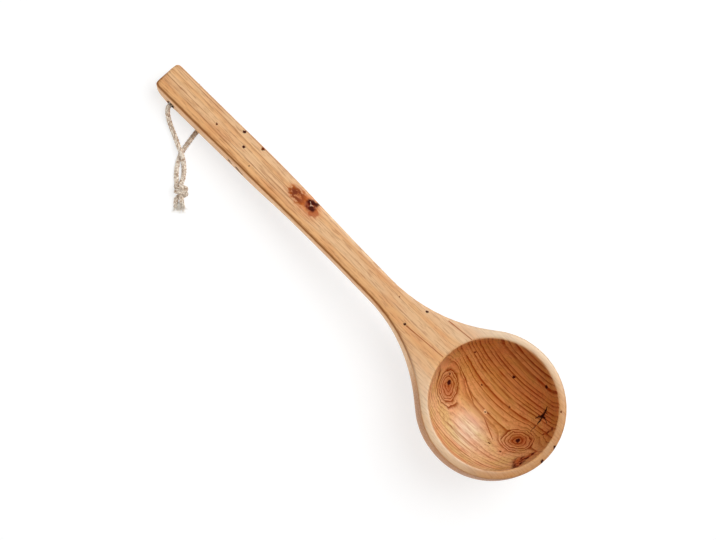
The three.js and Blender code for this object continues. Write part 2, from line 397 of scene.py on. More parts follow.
@dataclass(frozen=True)
class WoodFinish:
    """Oiled, honey-coloured softwood with growth layers, knots, pin knots and a crack, with painted shade
    and painted light on some edges, sides, the hollow, the rim and the bore.

    Lengths are in millimetres in the ladle's own frame. The edges of knots, pins and veins are in
    shares of their size.
    """

    honey: Colour = colour(242, 188, 130)
    pale: Colour = colour(240, 198, 150)
    amber: Colour = colour(226, 152, 90)
    # pale tone painted as light on the bowl's rim and the handle's side
    painted_light_tone: Colour = colour(230, 212, 186)
    light_heart: Colour = colour(235, 192, 140)
    # pale tone for a painted sheen in the hollow
    painted_sheen_tone: Colour = colour(232, 222, 192)
    heart: Colour = colour(231, 165, 99)
    deep_heart: Colour = colour(226, 149, 82)
    line_tint: Colour = (0.5, 0.18, 0.03, 1.0)
    rosy_tint: Colour = (1.0, 0.9, 0.94, 1.0)
    olive_tint: Colour = (0.94, 0.98, 0.84, 1.0)
    pore: Colour = colour(174, 100, 48)
    red_heart: Colour = colour(176, 76, 22)
    orange: Colour = colour(212, 104, 10)
    resin: Colour = colour(118, 42, 5)
    ring: Colour = colour(124, 50, 12)
    knot_core: Colour = colour(42, 5, 1)
    dead_wood: Colour = colour(112, 28, 5)
    crack_light: Colour = colour(222, 176, 144)
    speck: Colour = colour(64, 12, 3)
    brown_speck: Colour = colour(110, 48, 16)
    # painted shade for the top edge on the side away from the softbox
    painted_edge_shade: Colour = colour(134, 74, 30)
    # painted shade for the bowl's outer wall on the side away from the softbox
    painted_wall_shade: Colour = colour(152, 88, 32)
    darker_tone: Colour = colour(172, 116, 70)
    # painted shade for the cord's hole
    painted_bore_shade: Colour = colour(58, 26, 10)

    gloss: Rise = (0.3, 0.8, 0.25, 0.45)
    dull_marks: Rise = (0.12, 0.04)
    specular: float = 0.05
    relief: Pair = (0.4, 0.1 * MM)
    line_groove: float = 0.5

    layer: float = 2.8
    layer_tilt: Pair = (-0.25, 0.2)
    tilt_span: Pair = (-42.0, 26.0)
    grain_lean: float = 0.012
    wander: float = 0.9
    spacing_scale: float = 0.6
    spacing_spread: float = 1.2
    tone_scale: float = 0.3
    tone_cut: Rise = (0.35, 0.68)
    late_slow: Rise = (0.05, 0.86, 0.0, 0.45)
    late_quick: Rise = (0.52, 0.88, 0.0, 0.55)
    late_stop: Rise = (1.0, 0.92)
    faintest: float = 0.35
    pore_share: float = 0.42
    rosy_cut: Rise = (0.5, 0.64)
    olive_cut: Rise = (0.5, 0.36)
    warp_reach: float = 2.4
    ripple_depth: float = 0.32

    wave: Cloud = Cloud((1 / 80, 1 / 26, 1 / 26), 2.0)
    ripple: Cloud = Cloud((0.2, 0.2, 0.2), 1.0)
    warp: Cloud = Cloud((0.45, 0.45, 0.45), 2.0)
    breaks: Cloud = Cloud((1 / 22, 1 / 8, 1 / 8), 2.0, (0.3, 0.6, 0.5, 1.0))
    amber_patches: Cloud = Cloud((1 / 42, 1 / 11, 1 / 11), 2.0, (0.46, 0.74, 0.0, 0.5))
    streaks: Cloud = Cloud((1 / 90, 1 / 1.2, 1 / 1.2), 1.0, (0.54, 0.68))
    hue: Cloud = Cloud((1 / 34, 1 / 10, 1 / 10), 2.0)
    dashes: Cloud = Cloud((1 / 12, 1 / 1.3, 1 / 1.3), 2.0, (0.5, 0.64), 0.65)
    knot_blotches: Cloud = Cloud((0.22, 0.45, 0.45), 3.0, (0.36, 0.6))
    resin_blotches: Cloud = Cloud((0.35, 0.35, 0.35), 3.0, (0.38, 0.6))

    hollow_middle: Triple = (BOWL[0], 0.0, -1.0)
    hollow_reach: Triple = (49.2, 49.2, 47.0)
    hollow_edge: Rise = (1.05, 1.02)
    hollow_top: Rise = (-0.4, -2.0)
    # Painted highlight: a soft pale spot low in the hollow stands in for a glossy sheen.
    sheen_place: Triple = (348.0, -19.0, -44.0)
    sheen_reach: float = 16.0
    sheen_share: float = 0.6
    bore_shade_edge: Rise = (3.9, 3.2)
    # darker towards the neck
    neck_darkening: Rise = (140.0, 240.0, 0.0, 0.16)
    # painted light: where the hollow's wall is made paler, rising towards -y
    sunny_side: Rise = (22.0, -26.0)
    streak_fade: Rise = (120.0, 240.0, 0.6, 0.22)
    line_fade: Rise = (150.0, 260.0, 0.42, 0.2)
    bowl_lines: Rise = (-22.0, 8.0, 0.75, 1.1)

    # Painted shade: the rounded top edge on the side away from the softbox is darkened, as shade falls
    # there.
    edge_shade_zone: Zone = Zone(
        painted_edge_shade,
        along=(310.0, 270.0),
        across=(5.0, -8.0, 0.0, 0.95),
        up=((-0.05, -0.45, 0.3, 1.0),),
        out=(51.5, 53.0),
        band=(-1.0, 0.8),
    )
    # Painted light: the handle's side towards the low strip lamp and the floor is made paler, as bounced
    # light falls on it.
    painted_light_side_zone: Zone = Zone(painted_light_tone, (300.0, 270.0), (0.0, -8.0, 0.0, 0.25), ((-1.8, -3.2),))
    # Painted shade: the bowl's outer wall below the rim, on the side away from the softbox, is darkened.
    wall_shade_zone: Zone = Zone(
        painted_wall_shade,
        along=(276.0, 306.0),
        across=(0.0, -24.0, 0.0, 0.7),
        up=((-0.8, -2.2), (-50.0, -8.0)),
        out=(51.5, 53.0),
    )
    # Painted light: the top of the bowl's rim is made paler where it catches the light, on its -y side and
    # more on its +y side towards the softbox.
    near_rim_light_zone: Zone = Zone(
        painted_light_tone, (390.0, 356.0), (-8.0, -36.0), ((-2.0, -0.6),), (48.5, 51.0, 0.0, 0.45)
    )
    far_rim_light_zone: Zone = Zone(
        painted_light_tone, (384.0, 350.0), (8.0, 40.0), ((-7.0, -2.0),), (48.5, 51.0, 0.0, 0.6)
    )
    # Darker tone round the bowl's far end, on the rim and the wall below it.
    dark_far_rim_zone: Zone = Zone(darker_tone, (330.0, 384.0), (64.0, 14.0), out=(48.0, 52.0, 0.0, 0.6))

    knots: tuple[Knot, ...] = (
        Knot((312.4, -4.4, -36.2), (14.0, 10.5, 40.0), -45.0, 0.7, 14.0),
        Knot((377.6, 3.6, -35.0), (10.6, 8.8, 40.0), 45.0, 0.75, 12.0),
    )
    halo_width: float = 0.7
    bold_rings: Rise = (1.5, 1.0, 0.0, 0.9)
    red_rings: Rise = (1.5, 1.0, 0.0, 0.7)
    dead_knot: Knot = Knot((145.8, 7.0, -1.0), (5.4, 4.8, 8.0), 0.0, 0.95, 4.0)
    dead_edge: Rise = (1.2, 0.6)
    dead_blotted: Rise = (0.0, 0.8, 0.75, 1.0)
    dead_halo_width: float = 1.4
    resin_patch: Knot = Knot((134.4, 5.4, -1.0), (12.5, 6.6, 8.0), 0.0, 0.95)
    stain_edge: Rise = (1.25, 0.35)
    stain_core: Rise = (1.1, 0.4, 0.0, 0.5)
    resin_edge: Rise = (1.0, 0.4)
    resin_blotted: Rise = (0.1, 0.7, 0.3, 0.95)
    resin_clots: Rise = (0.75, 1.0, 0.0, 0.75)
    resin_red: float = 0.8
    flush_share: float = 0.7
    hollow_share: float = 0.93
    dark_line_share: float = 0.9
    pin_edge: Rise = (1.12, 0.72)
    vein_edge: Rise = (1.6, 0.4)
    black_pins: tuple[Pin, ...] = (
        Pin((72.2, 10.6, -0.2), 1.5),
        Pin((80.2, 1.9, 0.0), 1.1),
        Pin((256.8, -6.1, 0.0), 1.2),
        Pin((262.0, 12.9, 0.0), 1.1),
        Pin((342.5, 36.3, -32.5), 1.4),
        Pin((364.0, 42.9, -14.0), 1.5),
        Pin((306.4, 1.4, -30.7), 1.0),
        Pin((310.7, -2.4, -35.1), 2.1),
        Pin((378.0, 3.9, -35.0), 2.1),
        Pin((398.2, 9.5, -0.9), 1.8),
        Pin((398.6, -4.9, -0.9), 1.6),
    )
    brown_pins: tuple[Pin, ...] = (
        Pin((53.9, -0.3, 0.0), 0.9),
        Pin((93.1, -5.5, 0.0), 0.6),
        Pin((90.9, 11.4, -0.1), 1.4),
        Pin((239.5, 6.1, 0.0), 0.7),
        Pin((329.7, 16.9, -42.8), 0.9),
        Pin((346.0, 5.4, -47.7), 0.9),
        Pin((308.3, 24.9, -22.1), 1.0),
        Pin((356.5, 20.1, -42.2), 0.8),
        Pin((364.4, -11.5, -42.4), 0.9),
        Pin((374.4, -11.3, -36.6), 0.9),
        Pin((383.5, 32.1, 0.0), 0.9),
    )
    pale_pins: tuple[Pin, ...] = (Pin((346.0, 5.4, -47.7), 1.7),)
    cracks: tuple[Vein, ...] = (
        Vein((377.8, 27.7, -23.0), (375.2, 33.2, -19.0), 1.5, 0.5),
        Vein((377.8, 27.7, -23.0), (375.2, 24.4, -29.2), 1.2, 0.3),
        Vein((377.8, 27.7, -23.0), (382.9, 24.7, -18.1), 1.1, 0.35),
        Vein((377.8, 27.7, -23.0), (379.8, 14.7, -30.4), 0.9, 0.25),
        Vein((376.6, 30.2, -21.2), (380.4, 29.4, -17.0), 0.7, 0.3),
        Vein((376.4, 26.0, -26.4), (372.4, 27.6, -27.0), 0.6, 0.25),
        Vein((78.8, -11.3, -7.8), (82.0, -11.3, -9.6), 1.1, 0.7),
        Vein((86.6, -11.1, -8.0), (93.0, -11.0, -10.4), 1.3, 0.9),
    )
    knot_hollows: tuple[Vein, ...] = (
        Vein((143.0, 8.4, 0.0), (148.8, 11.0, 0.0), 1.7, 1.5),
        Vein((146.9, 5.9, 0.0), (149.2, 5.6, 0.0), 1.8, 1.5),
    )
    knot_cracks: tuple[Vein, ...] = (
        Vein((145.8, 7.3, 0.0), (143.8, 8.4, 0.0), 0.4, 0.2),
        Vein((145.8, 7.3, 0.0), (149.8, 8.3, 0.0), 0.4, 0.15),
        Vein((145.6, 7.2, 0.0), (145.0, 4.6, 0.0), 0.25, 0.1),
    )
    flushes: tuple[Pin, ...] = (
        Pin((152.0, 4.8, 0.0), 3.4),
        Pin((150.4, 2.6, 0.0), 2.6),
    )
    resin_veins: tuple[Vein, ...] = (
        Vein((387.9, -11.3, -19.9), (388.0, -21.5, -5.0), 5.0, 2.8),
        Vein((387.9, -11.3, -19.9), (391.7, 0.9, -13.4), 4.2, 1.4),
        Vein((388.2, 20.6, -7.5), (387.0, 16.0, -18.4), 1.6, 0.8),
    )
    dark_lines: tuple[Vein, ...] = (
        Vein((258.7, -6.0, 0.0), (293.6, -2.8, 0.0), 0.45, 0.35),
        Vein((278.0, 20.0, 0.0), (299.9, 22.4, 0.0), 0.45, 0.35),
        Vein((346.0, 5.4, -47.7), (364.0, 12.0, -41.5), 0.6, 0.6),
        Vein((364.0, 12.0, -41.5), (379.5, 19.8, -27.7), 0.6, 0.4),
        Vein((316.6, 10.3, -38.4), (307.5, 11.0, -30.2), 0.55, 0.2),
        Vein((316.6, 10.3, -38.4), (328.9, 6.2, -45.2), 0.55, 0.5),
        Vein((328.9, 6.2, -45.2), (337.6, 2.4, -47.5), 0.5, 0.05),
        Vein((353.4, -0.7, -47.1), (347.0, 2.2, -47.9), 0.5, 0.05),
        Vein((353.4, -0.7, -47.1), (361.2, -5.0, -44.8), 0.5, 0.45),
        Vein((361.2, -5.0, -44.8), (368.9, -10.3, -40.2), 0.45, 0.05),
    )

    def layer_depth(self, place: Triple) -> float:
        """Gives how far across the growth layers a place lies, with no knot near.

        Args:
            place: A place in the wood.

        Returns:
            The distance across the growth layers.
        """
        across = place[1] - self.grain_lean * (place[0] - BOWL[0])
        start, end = self.tilt_span
        share = min(max((across - start) / (end - start), 0.0), 1.0)
        low, high = self.layer_tilt
        tilt = low + (high - low) * share * share * (3 - 2 * share)
        return across + tilt * place[2]

    def material(self) -> Material:
        """Draws the wood.

        Returns:
            The wood's material.
        """
        made = bpy.data.materials.new("oiled_wood")
        WoodFigure(self, Graph(made)).draw()
        return made


class WoodFigure:
    """Draws the wood's figure: finds its layers, knots and hollow, then lays colour on colour."""

    def __init__(self, wood: WoodFinish, graph: Graph) -> None:
        """Finds what the colours follow.

        Args:
            wood: The wood's colours and sizes.
            graph: The material's nodes.
        """
        self.wood = wood
        self.graph = graph
        self.place = self._ladle_coordinates()
        self.x, self.y, self.z = graph.parts(self.place)
        from_bowl = graph.vector("SUBTRACT", self.place, BOWL)
        self.out = graph.vector("LENGTH", graph.vector("MULTIPLY", from_bowl, (1.0, 1.0, 0.0)))

        shift = graph.vector("SUBTRACT", graph.noise(self.place, wood.warp, "Color"), (0.5, 0.5, 0.5))
        self.warped = graph.vector("ADD", self.place, graph.vector("SCALE", shift, wood.warp_reach))
        ripple = graph.noise(self.place, wood.ripple)
        depth = wood.ripple_depth
        self.ripple = graph.math("MULTIPLY_ADD", ripple, depth, -depth / 2)

        self.near = [(knot, self._knot_distance(self.place, knot)) for knot in wood.knots]
        self.dead = self._knot_distance(self.warped, wood.dead_knot)
        self.layers = self._count_layers()
        self.line = self._late_lines()
        self.in_bowl = self._hollow()
        self.dashes = graph.noise(self.place, wood.dashes)
        self.pores = graph.rise(self.dashes, *wood.dashes.cut)
        self.base: Value = wood.honey

    def _ladle_coordinates(self) -> Socket:
        """Gives the place on the wood in the ladle's own frame, in millimetres."""
        inputs = {
            "Vector": self.graph.node("TexCoord").outputs["Object"],
            "Location": LIE_TURN @ (HANDLE_END / -MM),
            "Rotation": (0.0, LIE_ANGLE, 0.0),
            "Scale": (1 / MM, 1 / MM, 1 / MM),
        }
        return self.graph.node("Mapping", inputs, vector_type="POINT").outputs["Vector"]

    def _paint(self, share: Value, tone: Colour, mode: str = "MIX") -> None:
        """Lays a share of a tone over the colour so far."""
        self.base = self.graph.blend(share, self.base, tone, mode)

    def _knot_distance(self, place: Socket, knot: Knot) -> Socket:
        """Measures how far a place is from a knot, in shares of the knot's reach.

        Args:
            place: The place on the wood.
            knot: The knot.

        Returns:
            About 0 at the knot's middle and 1 at its reach, a little uneven.
        """
        graph = self.graph
        from_knot = graph.vector("SUBTRACT", place, knot.place)
        inputs = {"Vector": from_knot, "Angle": -math.radians(knot.turn)}
        away = graph.node("VectorRotate", inputs, rotation_type="Z_AXIS").outputs[0]
        length = graph.vector("LENGTH", graph.vector("DIVIDE", away, knot.reach))
        return graph.math("ADD", length, self.ripple)

    def _count_layers(self) -> Socket:
        """Counts growth layers across the wood, which flow round the knots as a stream round a post.

        Returns:
            The layer's number, with its fraction.
        """
        graph, wood = self.graph, self.wood
        lean = graph.math("MULTIPLY_ADD", self.x, -wood.grain_lean, self.y)
        across = graph.math("ADD", lean, wood.grain_lean * BOWL[0])
        tilt = graph.rise(across, *wood.tilt_span, *wood.layer_tilt)
        depth = graph.math("MULTIPLY_ADD", tilt, self.z, across)
        wave = graph.noise(self.place, wood.wave)
        wave = graph.math("MULTIPLY_ADD", wave, 4 * wood.wander, -2 * wood.wander)
        depth = graph.math("ADD", depth, wave)
        for knot, distance in (*self.near, (wood.dead_knot, self.dead)):
            square = graph.times(distance, distance)
            pull = graph.math("MINIMUM", graph.math("DIVIDE", 1.0, square), 1.0)
            short = graph.math("SUBTRACT", wood.layer_depth(knot.place), depth)
            depth = graph.math("MULTIPLY_ADD", short, pull, depth)
            within = graph.math("MAXIMUM", graph.math("SUBTRACT", 1.0, distance), 0.0)
            depth = graph.math("MULTIPLY_ADD", within, knot.swell, depth)
        layers = graph.math("DIVIDE", depth, wood.layer)
        uneven = graph.noise_along(layers, wood.spacing_scale)
        return graph.math("MULTIPLY_ADD", uneven, wood.spacing_spread, layers)

    def _late_lines(self) -> Socket:
        """Marks the dark late wood: it grows darker through each layer, then stops sharply.

        Returns:
            1 on the darkest lines and 0 between them.
        """
        graph, wood = self.graph, self.wood
        share = graph.math("FRACT", self.layers)
        late = graph.math("ADD", graph.rise(share, *wood.late_slow), graph.rise(share, *wood.late_quick))
        inputs = {"W": graph.math("FLOOR", self.layers)}
        lot = graph.node("TexWhiteNoise", inputs, noise_dimensions="1D").outputs["Value"]
        bold = graph.math("MULTIPLY_ADD", lot, 1 - wood.faintest, wood.faintest)
        bold = graph.times(bold, graph.clouds(self.place, wood.breaks))
        for _knot, distance in self.near:
            bold = graph.math("MAXIMUM", bold, graph.rise(distance, *wood.bold_rings))
        return graph.times(late, graph.rise(share, *wood.late_stop), bold)

    def _hollow(self) -> Socket:
        """Tells the bowl's hollow from the rest of the wood.

        Returns:
            1 in the hollow and 0 outside it.
        """
        graph, wood = self.graph, self.wood
        away = graph.vector("SUBTRACT", self.place, wood.hollow_middle)
        away = graph.vector("LENGTH", graph.vector("DIVIDE", away, wood.hollow_reach))
        return graph.times(graph.rise(away, *wood.hollow_edge), graph.rise(self.z, *wood.hollow_top))

    def _nearest(self, shares: Sequence[Socket], edge: Rise) -> Socket:
        """Gives 1 in the nearest of some marks and 0 away from all of them, by their edge."""
        least = reduce(lambda first, second: self.graph.math("MINIMUM", first, second), shares)
        return self.graph.rise(least, *edge)

    def _pins(self, pins: Sequence[Pin]) -> Socket:
        """Marks pin knots.

        Args:
            pins: The pins.

        Returns:
            1 in a pin and 0 away from all of them.
        """
        near = []
        for pin in pins:
            distance = self.graph.vector("DISTANCE", self.warped, pin.place)
            near.append(self.graph.times(distance, 1 / pin.radius))
        return self._nearest(near, self.wood.pin_edge)

    def _veins(self, place: Socket, veins: Sequence[Vein]) -> Socket:
        """Marks cracks, resin veins or dark lines.

        Args:
            place: The place on the wood, warped or not.
            veins: The stretches.

        Returns:
            1 on a stretch and 0 away from all of them.
        """
        graph = self.graph
        near = []
        for vein in veins:
            run = Vector(vein.end) - Vector(vein.start)
            away = graph.vector("SUBTRACT", place, vein.start)
            along = graph.vector("DOT_PRODUCT", away, tuple(run / run.length_squared))
            along = graph.math("MAXIMUM", graph.math("MINIMUM", along, 1.0), 0.0)
            distance = graph.vector("DISTANCE", away, graph.vector("SCALE", tuple(run), along))
            width = graph.math("MULTIPLY_ADD", along, vein.tip - vein.width, vein.width)
            near.append(graph.math("DIVIDE", distance, width))
        return self._nearest(near, self.wood.vein_edge)

    def _plain_wood(self) -> None:
        """Colours the wood away from its knots."""
        graph, wood = self.graph, self.wood
        tone = graph.rise(graph.noise_along(self.layers, wood.tone_scale), *wood.tone_cut)
        outside = graph.blend(tone, wood.honey, wood.pale)
        outside = graph.blend(graph.rise(self.x, *wood.neck_darkening), outside, wood.darker_tone)
        inside = graph.blend(tone, wood.deep_heart, wood.heart)
        # Painted light and shade: the hollow's wall on the -y side, which faces the softbox, is made
        # paler, and the +y wall keeps the darker tones.
        inside = graph.blend(graph.rise(self.y, *wood.sunny_side), inside, wood.light_heart)
        # Painted highlight: a pale spot low on the hollow's -y wall stands in for a soft glossy sheen.
        sheen_spot = graph.bell(graph.vector("DISTANCE", self.place, wood.sheen_place), wood.sheen_reach)
        inside = graph.blend(graph.times(sheen_spot, wood.sheen_share), inside, wood.painted_sheen_tone)
        self.base = graph.blend(self.in_bowl, outside, inside)
        self._paint(graph.clouds(self.place, wood.amber_patches), wood.amber)
        self._paint(graph.times(self.pores, wood.pore_share), wood.pore)
        streak = graph.clouds(self.place, wood.streaks)
        self._paint(graph.times(streak, graph.rise(self.x, *wood.streak_fade)), wood.pore)
        hue = graph.noise(self.place, wood.hue)
        for cut, tint in ((wood.rosy_cut, wood.rosy_tint), (wood.olive_cut, wood.olive_tint)):
            self._paint(graph.times(self.in_bowl, graph.rise(hue, *cut)), tint, "MULTIPLY")
        strength = graph.times(self.in_bowl, graph.rise(self.y, *wood.bowl_lines))
        strength = graph.math("ADD", strength, graph.rise(self.x, *wood.line_fade))
        self._paint(graph.times(self.line, strength), wood.line_tint, "MULTIPLY")

    def _zones(self) -> None:
        """Paints shade on the top edge and the bowl's outer wall away from the softbox and in the cord's
        bore, paints light on the handle's side and the bowl's rim, and darkens the far rim.
        """
        graph, wood = self.graph, self.wood
        rims = (wood.near_rim_light_zone, wood.far_rim_light_zone, wood.dark_far_rim_zone)
        for zone in (wood.edge_shade_zone, wood.painted_light_side_zone, wood.wall_shade_zone, *rims):
            levels = [graph.rise(self.x, *zone.along), graph.rise(self.y, *zone.across)]
            levels += [graph.rise(self.z, *rise) for rise in zone.up]
            if zone.out:
                levels.append(graph.rise(self.out, *zone.out))
            if zone.band:
                height, width = zone.band
                levels.append(graph.bell(graph.math("SUBTRACT", self.z, height), width))
            self._paint(graph.times(*levels), zone.tone)
        # Painted shade: the cord's hole and a thin ring round its mouth are darkened, as shade falls in
        # the bore.
        from_hole = graph.vector("SUBTRACT", self.place, HOLE)
        from_hole = graph.vector("LENGTH", graph.vector("MULTIPLY", from_hole, (1.0, 0.0, 1.0)))
        self._paint(graph.rise(from_hole, *wood.bore_shade_edge), wood.painted_bore_shade)

    def _growth_knots(self) -> None:
        """Reddens the wood round the growth knots, and their rings."""
        graph, wood = self.graph, self.wood
        for knot, distance in self.near:
            self._paint(graph.times(graph.bell(distance, wood.halo_width), knot.halo), wood.red_heart)
            self._paint(graph.times(self.line, graph.rise(distance, *wood.red_rings)), wood.ring)

    def _dead_knot(self) -> None:
        """Draws the handle's loose knot: an orange patch before it, two dark hollows and pale cracks."""
        graph, wood = self.graph, self.wood
        patch = self._knot_distance(self.warped, wood.resin_patch)
        blotch = graph.clouds(self.warped, wood.knot_blotches)
        stain = graph.times(graph.rise(patch, *wood.stain_edge), blotch)
        stain = graph.math("ADD", graph.rise(patch, *wood.stain_core), stain)
        self._paint(graph.math("MULTIPLY", stain, wood.resin_patch.halo, clamp=True), wood.orange)
        dark = graph.rise(patch, *wood.resin_edge)
        self._paint(graph.times(dark, graph.rise(blotch, *wood.resin_blotted)), wood.resin)
        halo = graph.bell(self.dead, wood.dead_halo_width)
        self._paint(graph.times(halo, wood.dead_knot.halo), wood.orange)
        self._paint(graph.times(self._pins(wood.flushes), wood.flush_share), wood.red_heart)
        filled = graph.rise(self.dead, *wood.dead_edge)
        self._paint(graph.times(filled, graph.rise(blotch, *wood.dead_blotted)), wood.dead_wood)
        # The two hollows are painted dark: the knot's own dark wood, with painted shade in pits that the
        # mesh doesn't have.
        hollows = self._veins(self.warped, wood.knot_hollows)
        self._paint(graph.times(hollows, wood.hollow_share), wood.speck)
        self._paint(self._veins(self.warped, wood.knot_cracks), wood.crack_light)

    def _marks(self) -> None:
        """Adds resin, dark grain lines, pin knots and the crack."""
        graph, wood = self.graph, self.wood
        resin = self._veins(self.warped, wood.resin_veins)
        blotch = graph.clouds(self.place, wood.resin_blotches)
        self._paint(graph.times(resin, wood.resin_red), wood.red_heart)
        self._paint(graph.times(resin, blotch), wood.dead_wood)
        self._paint(graph.times(resin, graph.rise(blotch, *wood.resin_clots)), wood.knot_core)
        drawn = self._veins(self.place, wood.dark_lines)
        self._paint(graph.times(drawn, wood.dark_line_share), wood.line_tint, "MULTIPLY")
        self._paint(self._pins(wood.pale_pins), wood.light_heart)
        self._paint(self._pins(wood.brown_pins), wood.brown_speck)
        self._paint(self._pins(wood.black_pins), wood.speck)
        self._paint(self._veins(self.warped, wood.cracks), wood.knot_core)

    def draw(self) -> None:
        """Lays the colours, then gives the surface its gloss, dull on dark marks, and its relief."""
        graph, wood = self.graph, self.wood
        self._plain_wood()
        self._zones()
        self._growth_knots()
        self._dead_knot()
        self._marks()
        light = graph.node("RGBToBW", {0: self.base}).outputs[0]
        gloss = graph.rise(self.dashes, *wood.gloss)
        inputs = {
            "Base Color": self.base,
            "Roughness": graph.math("MAXIMUM", gloss, graph.rise(light, *wood.dull_marks)),
            "Specular IOR Level": wood.specular,
        }
        pits = graph.times(self.pores, -1.0)
        height = graph.math("MULTIPLY_ADD", self.line, -wood.line_groove, pits)
        graph.surface(inputs, height, wood.relief)


@dataclass(frozen=True)
class CottonFinish:
    """Undyed cotton, twisted from fine yarns."""

    name: str = "twisted_cotton"
    # lit and shaded: painted light and painted shade on the cotton
    lit: Colour = colour(252, 242, 226)
    shaded: Colour = colour(168, 132, 100)
    roughness: float = 0.9
    specular: float = 0.2
    sheen: float = 0.25
    sheen_roughness: float = 0.5
    relief: Pair = (0.6, 0.15 * MM)
    yarns_round: float = 5.0
    twists_per_metre: float = 420.0
    fuzz: Cloud = Cloud((560.0, 560.0, 560.0), 3.0, roughness=0.7)
    groove: Rise = (0.28, 0.5)
    fuzz_share: float = 2.4
    groove_share: float = 0.5
    mottle: Rise = (1.0, 1.7)

    def material(self) -> Material:
        """Draws the cotton.

        Returns:
            The cotton's material.
        """
        made = bpy.data.materials.new(self.name)
        graph = Graph(made)
        source = graph.node("TexCoord")
        around, along, _ = graph.parts(source.outputs["UV"])
        turn = graph.times(around, self.yarns_round)
        turn = graph.math("MULTIPLY_ADD", along, self.twists_per_metre, turn)
        yarn = graph.math("ABSOLUTE", graph.math("SUBTRACT", graph.math("FRACT", turn), 0.5))
        groove = graph.rise(yarn, *self.groove)
        fuzz = graph.noise(source.outputs["Object"], self.fuzz)
        mottled = graph.times(groove, self.groove_share)
        mottled = graph.math("MULTIPLY_ADD", fuzz, self.fuzz_share, mottled)
        # Painted shade: the grooves between the yarns take the shaded colour, and the mottle adds darker
        # flecks.
        inputs = {
            "Base Color": graph.blend(graph.rise(mottled, *self.mottle), self.lit, self.shaded),
            "Roughness": self.roughness,
            "Specular IOR Level": self.specular,
            "Sheen Weight": self.sheen,
            "Sheen Roughness": self.sheen_roughness,
        }
        graph.surface(inputs, graph.math("SUBTRACT", fuzz, groove), self.relief)
        return made


@dataclass(frozen=True)
class FloorFinish:
    """A white studio floor that keeps a faint shadow."""

    paint: Colour = (0.8, 0.8, 0.8, 1.0)
    shown_paint: Colour = (0.34, 0.34, 0.34, 1.0)
    shown_glow: float = 0.74
    shadow_reach: Rise = (0.5, 1.6)

    def material(self) -> Material:
        """Draws the floor: plain paint for the light that it throws back, nearly white where it is seen.

        It is plain white far from the object, and open to a look from below.

        Returns:
            The floor's material.
        """
        made = bpy.data.materials.new("studio_floor")
        graph = Graph(made)
        path = graph.node("LightPath")
        seen = path.outputs["Is Camera Ray"]
        for name in ("Is Glossy Ray", "Is Transmission Ray"):
            seen = graph.math("MAXIMUM", seen, path.outputs[name])
        plain = graph.node("BsdfDiffuse", {"Color": self.paint}).outputs[0]
        shadowed = graph.node("BsdfDiffuse", {"Color": self.shown_paint}).outputs[0]
        glow = graph.node("Emission", {"Strength": self.shown_glow}).outputs[0]
        near = graph.node("AddShader", {0: shadowed, 1: glow}).outputs[0]
        white = graph.node("Emission", {"Strength": 1.0}).outputs[0]
        place = graph.node("TexCoord").outputs["Object"]
        far = graph.rise(graph.vector("LENGTH", place), *self.shadow_reach)
        shown = graph.mix_shaders(seen, plain, graph.mix_shaders(far, near, white))
        back = graph.node("NewGeometry").outputs["Backfacing"]
        below = graph.times(back, path.outputs["Is Camera Ray"])
        clear = graph.node("BsdfTransparent").outputs[0]
        graph.show(graph.mix_shaders(below, shown, clear))
        return made


